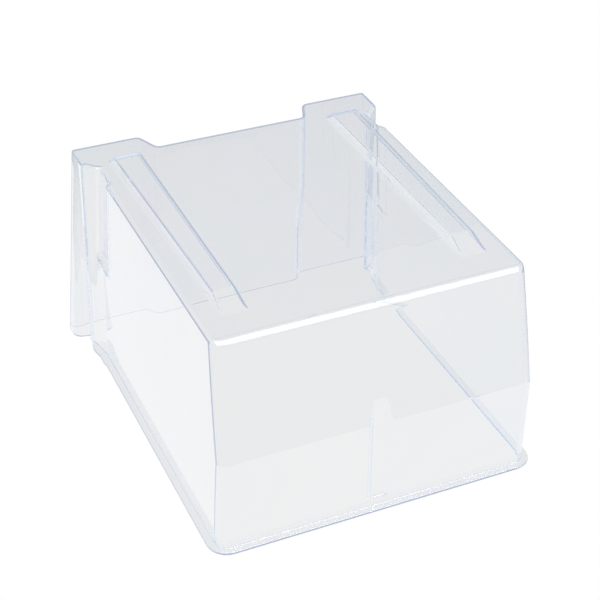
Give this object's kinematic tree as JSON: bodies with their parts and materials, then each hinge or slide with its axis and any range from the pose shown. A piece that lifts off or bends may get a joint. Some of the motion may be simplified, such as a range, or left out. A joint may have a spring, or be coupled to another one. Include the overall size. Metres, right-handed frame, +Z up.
{
  "type": "storage bin",
  "caption": "Clear plastic stackable storage bin with a bent front wall, bulging rear posts, raised stacking runners and a rim flange, standing rim down.",
  "frame": {"origin": "in the rim plane, under the middle of the bounding box", "axes": "+Z up with the bin standing on its rim (upside down), -Y towards the bent front wall, +X to the right seen from the front; in use the bin is turned over, so its floor is at the bottom"},
  "size_m": [0.275, 0.3026, 0.1712],
  "materials": {
    "clear_plastic": "clear, glossy, faintly blue at its edges"
  },
  "bodies": {
    "root": {"floor_panel": "clear_plastic", "front_slope_panel": "clear_plastic", "front_channel": "clear_plastic", "front_lower_panel_left": "clear_plastic", "front_lower_panel_right": "clear_plastic", "left_side_wall": "clear_plastic", "right_side_wall": "clear_plastic", "left_side_groove": "clear_plastic", "right_side_groove": "clear_plastic", "left_rear_post": "clear_plastic", "right_rear_post": "clear_plastic", "rear_recess_panel": "clear_plastic", "rear_lower_panel": "clear_plastic", "left_runner": "clear_plastic", "right_runner": "clear_plastic", "front_rim": "clear_plastic", "left_rim": "clear_plastic", "right_rim": "clear_plastic"}
  },
  "joints": []
}
